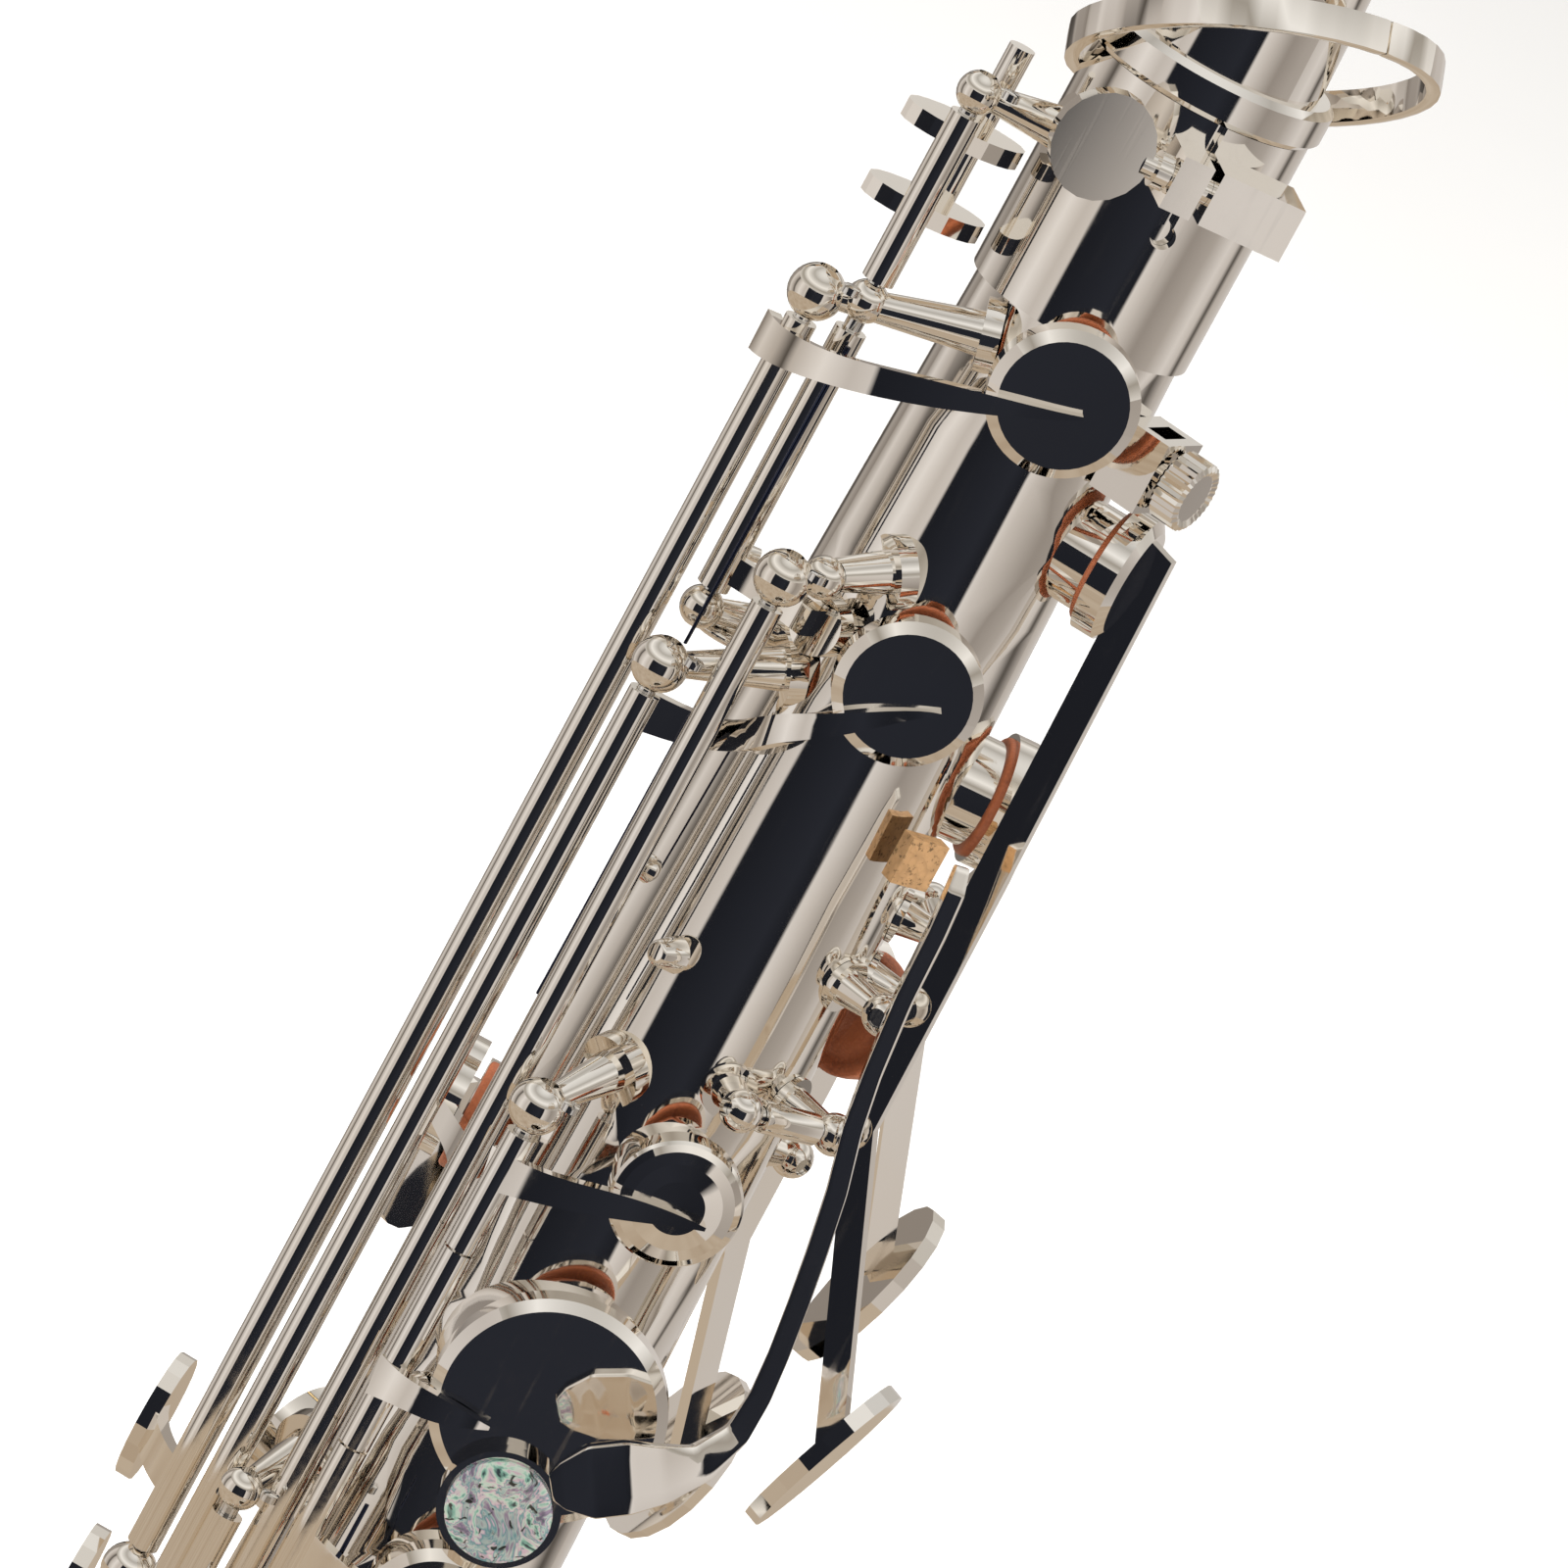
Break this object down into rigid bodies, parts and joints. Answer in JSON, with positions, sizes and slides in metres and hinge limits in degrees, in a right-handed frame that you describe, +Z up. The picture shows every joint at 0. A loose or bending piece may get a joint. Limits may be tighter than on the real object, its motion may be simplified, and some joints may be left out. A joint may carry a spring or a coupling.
{
  "type": "saxophone",
  "caption": "Silver-plated alto saxophone with sprung keys, octave mechanism, swivelling neck with mouthpiece, and a strap ring",
  "frame": {"origin": "middle of the strap ring's hole, on the back of the body tube", "axes": "+Z up along the body tube, -Y towards the bell, +Y towards the player, +X to the player's left"},
  "size_m": [0.1254, 0.3636, 0.62],
  "materials": {
    "pad_leather": "tanned leather pad, satin",
    "pearl": "abalone shell, polished",
    "cork": "cork, matte",
    "ebonite": "hard rubber, satin gloss",
    "cane": "cane, matte",
    "ligature_metal": "silver plate, polished",
    "steel": "steel rod, polished",
    "silver_body": "silver plate over brass, mirror polish",
    "silver_keys": "silver plate, mirror polish"
  },
  "bodies": {
    "body": {"body_tube": "silver_body", "neck_receiver": "silver_body", "posts_upper": "silver_keys", "posts_lower": "silver_keys", "hinge_rods": "steel", "bow": "silver_body", "bell": "silver_body", "rings_and_brace": "silver_keys", "strap_ring": "silver_keys", "thumb_rests": "silver_keys", "lyre_holder": "silver_keys"},
    "clamp_screw": {"clamp_screw": "silver_keys"},
    "lyre_screw": {"lyre_screw": "silver_keys"},
    "neck": {"neck_tube": "silver_body", "neck_cork": "cork"},
    "neck_octave_key": {"neck_octave_key": "silver_keys"},
    "mouthpiece": {"mouthpiece": "ebonite", "reed": "cane", "ligature": "ligature_metal"},
    "octave_vent_key": {"octave_vent_key": "silver_keys"},
    "octave_pin_lever": {"octave_pin_lever": "silver_keys"},
    "octave_thumb_lever": {"octave_thumb_lever": "silver_keys"},
    "key_high_f_sharp": {"key_high_f_sharp": "silver_keys", "pad_high_f_sharp": "pad_leather"},
    "key_high_e": {"key_high_e": "silver_keys", "pad_high_e": "pad_leather"},
    "key_side_c": {"key_side_c": "silver_keys"},
    "key_side_b_flat": {"key_side_b_flat": "silver_keys"},
    "key_c_vent": {"key_c_vent": "silver_keys", "pad_c_vent": "pad_leather"},
    "key_b": {"key_b": "silver_keys", "pad_b": "pad_leather", "pearl_b": "pearl"},
    "key_bis": {"key_bis": "silver_keys", "pad_bis": "pad_leather", "pearl_bis": "pearl"},
    "key_a": {"key_a": "silver_keys", "pearl_a": "pearl"},
    "key_g": {"key_g": "silver_keys", "pearl_g": "pearl"},
    "key_f_sharp": {"key_f_sharp": "silver_keys"},
    "key_f": {"key_f": "silver_keys", "pearl_f": "pearl"},
    "key_e": {"key_e": "silver_keys", "pearl_e": "pearl"},
    "key_d": {"key_d": "silver_keys", "pearl_d": "pearl"},
    "key_g_sharp": {"key_g_sharp": "silver_keys"},
    "key_low_e_flat": {"key_low_e_flat": "silver_keys"},
    "key_low_c": {"key_low_c": "silver_keys"},
    "key_palm_f": {"key_palm_f": "silver_keys", "pad_palm_f": "pad_leather"},
    "key_palm_e_flat": {"key_palm_e_flat": "silver_keys", "pad_palm_e_flat": "pad_leather"},
    "key_palm_d": {"key_palm_d": "silver_keys"},
    "key_front_f": {"key_front_f": "silver_keys", "front_f_cork": "cork"},
    "key_low_c_sharp": {"key_low_c_sharp": "silver_keys"},
    "key_low_b": {"key_low_b": "silver_keys"},
    "key_low_b_flat": {"key_low_b_flat": "silver_keys"}
  },
  "joints": [
    {"name": "clamp_screw_turn", "type": "hinge", "parent": "body", "child": "clamp_screw", "pos_m": [-0.0092, -0.04839, 0.2665], "axis": [0.866, -0.5, 0], "range_deg": [-20, 20]},
    {"name": "key_high_f_sharp_turn", "type": "hinge", "parent": "body", "child": "key_high_f_sharp", "pos_m": [-0.02741, -0.02026, 0.1448], "axis": [0, 0, -1], "range_deg": [0, 5], "stiffness_Nm_per_rad": 0.02, "springref_deg": -17.99},
    {"name": "key_high_e_turn", "type": "hinge", "parent": "body", "child": "key_high_e", "pos_m": [-0.02734, -0.0264, 0.1091], "axis": [0, 0, -1], "range_deg": [0, 5], "stiffness_Nm_per_rad": 0.02, "springref_deg": -17.99},
    {"name": "key_side_c_turn", "type": "hinge", "parent": "body", "child": "key_side_c", "pos_m": [-0.0249, -0.03464, 0.1046], "axis": [0, 0, 1], "range_deg": [0, 6.5], "stiffness_Nm_per_rad": 0.02, "springref_deg": -17.99},
    {"name": "key_side_b_flat_turn", "type": "hinge", "parent": "body", "child": "key_side_b_flat", "pos_m": [-0.02857, -0.03121, 0.0294], "axis": [0, 0, 1], "range_deg": [0, 6.5], "stiffness_Nm_per_rad": 0.02, "springref_deg": -17.99},
    {"name": "key_c_vent_turn", "type": "hinge", "parent": "body", "child": "key_c_vent", "pos_m": [-0.0252, -0.04065, 0.1239], "axis": [0, 0, -1], "range_deg": [-8, 0], "stiffness_Nm_per_rad": 0.02, "springref_deg": 17.99},
    {"name": "key_b_turn", "type": "hinge", "parent": "body", "child": "key_b", "pos_m": [-0.0252, -0.04065, 0.1021], "axis": [0, 0, -1], "range_deg": [-9, 0], "stiffness_Nm_per_rad": 0.02, "springref_deg": 17.99},
    {"name": "key_bis_turn", "type": "hinge", "parent": "body", "child": "key_bis", "pos_m": [-0.0252, -0.04065, 0.07585], "axis": [0, 0, -1], "range_deg": [-9, 0], "stiffness_Nm_per_rad": 0.02, "springref_deg": 17.99},
    {"name": "key_a_turn", "type": "hinge", "parent": "body", "child": "key_a", "pos_m": [-0.0252, -0.04065, 0.04475], "axis": [0, 0, -1], "range_deg": [-9, 0], "stiffness_Nm_per_rad": 0.02, "springref_deg": 17.99},
    {"name": "key_g_turn", "type": "hinge", "parent": "body", "child": "key_g", "pos_m": [-0.0252, -0.04065, 0.0171], "axis": [0, 0, -1], "range_deg": [-9, 0], "stiffness_Nm_per_rad": 0.02, "springref_deg": 17.99},
    {"name": "key_f_sharp_turn", "type": "hinge", "parent": "body", "child": "key_f_sharp", "pos_m": [-0.0298, -0.041, -0.0243], "axis": [0, 0, -1], "range_deg": [-9, 0], "stiffness_Nm_per_rad": 0.02, "springref_deg": 17.99},
    {"name": "key_f_turn", "type": "hinge", "parent": "body", "child": "key_f", "pos_m": [-0.0298, -0.041, -0.0519], "axis": [0, 0, -1], "range_deg": [-9, 0], "stiffness_Nm_per_rad": 0.02, "springref_deg": 17.99},
    {"name": "key_e_turn", "type": "hinge", "parent": "body", "child": "key_e", "pos_m": [-0.0298, -0.041, -0.09], "axis": [0, 0, -1], "range_deg": [-9, 0], "stiffness_Nm_per_rad": 0.02, "springref_deg": 17.99},
    {"name": "key_d_turn", "type": "hinge", "parent": "body", "child": "key_d", "pos_m": [-0.0298, -0.041, -0.1229], "axis": [0, 0, -1], "range_deg": [-9, 0], "stiffness_Nm_per_rad": 0.02, "springref_deg": 17.99},
    {"name": "key_g_sharp_turn", "type": "hinge", "parent": "body", "child": "key_g_sharp", "pos_m": [0.01537, -0.05705, -0.002], "axis": [0, 0, -1], "range_deg": [0, 9], "stiffness_Nm_per_rad": 0.02, "springref_deg": -17.99},
    {"name": "key_low_e_flat_turn", "type": "hinge", "parent": "body", "child": "key_low_e_flat", "pos_m": [-0.03292, -0.03016, -0.15885], "axis": [0, 0, 1], "range_deg": [0, 8], "stiffness_Nm_per_rad": 0.02, "springref_deg": -17.99},
    {"name": "key_low_c_turn", "type": "hinge", "parent": "body", "child": "key_low_c", "pos_m": [-0.03292, -0.03016, -0.1805], "axis": [0, 0, -1], "range_deg": [-9, 0], "stiffness_Nm_per_rad": 0.02, "springref_deg": 17.99},
    {"name": "key_palm_f_turn", "type": "hinge", "parent": "body", "child": "key_palm_f", "pos_m": [0.00986, -0.051, 0.161], "axis": [0.8829, 0.4695, 0], "range_deg": [0, 2], "stiffness_Nm_per_rad": 0.02, "springref_deg": -17.99},
    {"name": "key_palm_e_flat_turn", "type": "hinge", "parent": "body", "child": "key_palm_e_flat", "pos_m": [0.01819, -0.04213, 0.169], "axis": [0.4695, 0.8829, 0], "range_deg": [0, 5.5], "stiffness_Nm_per_rad": 0.02, "springref_deg": -17.99},
    {"name": "key_palm_d_turn", "type": "hinge", "parent": "body", "child": "key_palm_d", "pos_m": [0.02139, -0.03171, 0.133], "axis": [-0.0349, 0.9994, 0], "range_deg": [0, 5], "stiffness_Nm_per_rad": 0.02, "springref_deg": -17.99},
    {"name": "key_front_f_turn", "type": "hinge", "parent": "body", "child": "key_front_f", "pos_m": [-0.00281, -0.05246, 0.145], "axis": [0.9903, -0.1392, 0], "range_deg": [0, 3], "stiffness_Nm_per_rad": 0.02, "springref_deg": -17.99},
    {"name": "octave_vent_key_turn", "type": "hinge", "parent": "body", "child": "octave_vent_key", "pos_m": [-0.0233, -0.02398, 0.1998], "axis": [0, 0, -1], "range_deg": [0, 7], "stiffness_Nm_per_rad": 0.02, "springref_deg": -17.99},
    {"name": "octave_pin_lever_turn", "type": "hinge", "parent": "body", "child": "octave_pin_lever", "pos_m": [-0.0233, -0.02398, 0.2466], "axis": [0, 0, 1], "range_deg": [0, 9], "stiffness_Nm_per_rad": 0.02, "springref_deg": -17.99},
    {"name": "octave_thumb_lever_turn", "type": "hinge", "parent": "body", "child": "octave_thumb_lever", "pos_m": [0.0088, -0.01067, 0.11], "axis": [0, 0, 1], "range_deg": [-9, 0], "stiffness_Nm_per_rad": 0.02, "springref_deg": 17.99},
    {"name": "key_low_c_sharp_turn", "type": "hinge", "parent": "body", "child": "key_low_c_sharp", "pos_m": [0.041, -0.08671, -0.1814], "axis": [0, -0.0523, 0.9986], "range_deg": [0, 7], "stiffness_Nm_per_rad": 0.02, "springref_deg": -17.99},
    {"name": "key_low_b_turn", "type": "hinge", "parent": "body", "child": "key_low_b", "pos_m": [0.041, -0.09689, -0.13988], "axis": [0, -0.0523, 0.9986], "range_deg": [-8, 0], "stiffness_Nm_per_rad": 0.02, "springref_deg": 17.99},
    {"name": "key_low_b_flat_turn", "type": "hinge", "parent": "body", "child": "key_low_b_flat", "pos_m": [0.041, -0.10729, -0.09436], "axis": [0, -0.0523, 0.9986], "range_deg": [-8, 0], "stiffness_Nm_per_rad": 0.02, "springref_deg": 17.99},
    {"name": "neck_turn", "type": "hinge", "parent": "body", "child": "neck", "pos_m": [0, -0.03246, 0.273], "axis": [0, 0, 1], "range_deg": [-35, 35]},
    {"name": "mouthpiece_slide", "type": "slide", "parent": "neck", "child": "mouthpiece", "axis": [0, 0.9703, -0.2419], "range_m": [-0.004, 0.004]},
    {"name": "neck_octave_key_turn", "type": "hinge", "parent": "neck", "child": "neck_octave_key", "pos_m": [0, -0.03246, 0.283], "axis": [-1, 0, 0], "range_deg": [0, 3], "stiffness_Nm_per_rad": 0.02, "springref_deg": -17.99},
    {"name": "lyre_screw_turn", "type": "hinge", "parent": "body", "child": "lyre_screw", "pos_m": [0.00654, -0.05044, 0.2326], "axis": [0.342, -0.9397, 0], "range_deg": [-25, 25]}
  ],
  "couplings": [
    {"joint": "key_c_vent_turn", "follows": "key_b_turn", "ratio": 0.88889},
    {"joint": "key_f_sharp_turn", "follows": "key_f_turn", "ratio": 1},
    {"joint": "key_palm_f_turn", "follows": "key_front_f_turn", "ratio": 0.66667},
    {"joint": "octave_pin_lever_turn", "follows": "octave_thumb_lever_turn", "ratio": -1},
    {"joint": "neck_octave_key_turn", "follows": "octave_thumb_lever_turn", "ratio": -0.33333}
  ]
}
